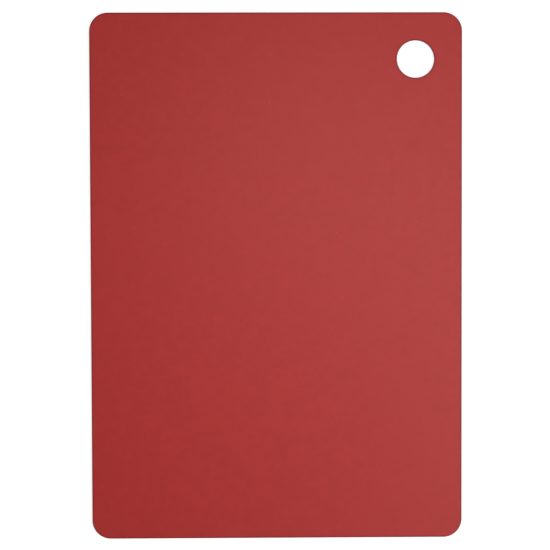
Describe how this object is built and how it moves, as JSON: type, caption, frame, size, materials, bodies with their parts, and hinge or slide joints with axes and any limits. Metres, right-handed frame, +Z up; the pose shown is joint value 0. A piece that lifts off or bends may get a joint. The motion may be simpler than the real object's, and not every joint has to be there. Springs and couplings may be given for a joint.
{
  "type": "flexible cutting mat",
  "caption": "Flat, flexible cutting mat with round corners, a round hanging hole in one corner and a studded, non-slip underside.",
  "frame": {"origin": "middle of the plane that the mat stands on, at the crowns of the grip studs", "axes": "+X across the mat and +Y along it, both towards the corner with the hanging hole; +Z up, out of the cutting face"},
  "size_m": [0.24, 0.34, 0.002],
  "materials": {
    "cutting_sheet": "satin, with a fine grain on the cutting face",
    "grip_backing": "soft and matt"
  },
  "bodies": {
    "root": {"cutting_sheet": "cutting_sheet", "grip_backing": "grip_backing"}
  },
  "joints": []
}
